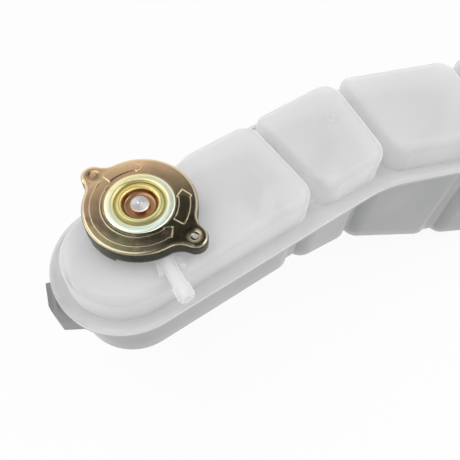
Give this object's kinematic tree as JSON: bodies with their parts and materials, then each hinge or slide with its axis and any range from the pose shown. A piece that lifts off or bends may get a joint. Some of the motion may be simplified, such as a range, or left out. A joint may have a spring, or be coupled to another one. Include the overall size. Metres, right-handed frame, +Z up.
{
  "type": "coolant expansion tank",
  "caption": "Bent two-part coolant expansion tank with bulged chambers, a filler neck with an overflow nipple and a turning pressure cap.",
  "frame": {"origin": "mouth of the mounting lug's hole, on its axis, at the lug's underside", "axes": "+Z up along the filler neck, +X from the neck along the first leg of the tank, +Y away from the overflow nipple"},
  "size_m": [0.4312, 0.1426, 0.1733],
  "materials": {
    "tank_plastic": "milky translucent, satin",
    "plated_steel": "zinc plated, yellow chromated",
    "rivet_metal": "satin",
    "spring_steel": "satin",
    "seal_rubber": "matte",
    "valve_brass": "satin"
  },
  "bodies": {
    "tank": {"upper_shell": "tank_plastic", "lower_shell": "tank_plastic"},
    "cap_core": {"spring_disc": "spring_steel", "rim_seal": "seal_rubber", "spring_bell": "spring_steel", "centre_rivet": "rivet_metal", "pressure_spring": "spring_steel"},
    "cap_cover": {"cap_shell": "plated_steel"},
    "pressure_valve": {"valve_plate": "valve_brass", "valve_seal": "seal_rubber", "vacuum_spring": "spring_steel"},
    "vacuum_valve": {"vacuum_valve": "valve_brass", "vacuum_keeper": "valve_brass"}
  },
  "joints": [
    {"name": "cap_lift", "type": "slide", "parent": "tank", "child": "cap_core", "axis": [0, 0, 1], "range_m": [0, 0.04]},
    {"name": "cap_turn", "type": "hinge", "parent": "cap_core", "child": "cap_cover", "pos_m": [0.06517, 0.00611, 0.057], "axis": [0, 0, 1], "range_deg": [-90, 0]},
    {"name": "pressure_valve_lift", "type": "slide", "parent": "cap_core", "child": "pressure_valve", "axis": [0, 0, 1], "range_m": [0, 0.0035], "stiffness_N_per_m": 6000, "springref_m": -0.01, "deforming": ["pressure_spring"]},
    {"name": "vacuum_valve_drop", "type": "slide", "parent": "pressure_valve", "child": "vacuum_valve", "axis": [0, 0, -1], "range_m": [0, 0.002], "stiffness_N_per_m": 200, "springref_m": -0.003, "deforming": ["vacuum_spring"]}
  ]
}
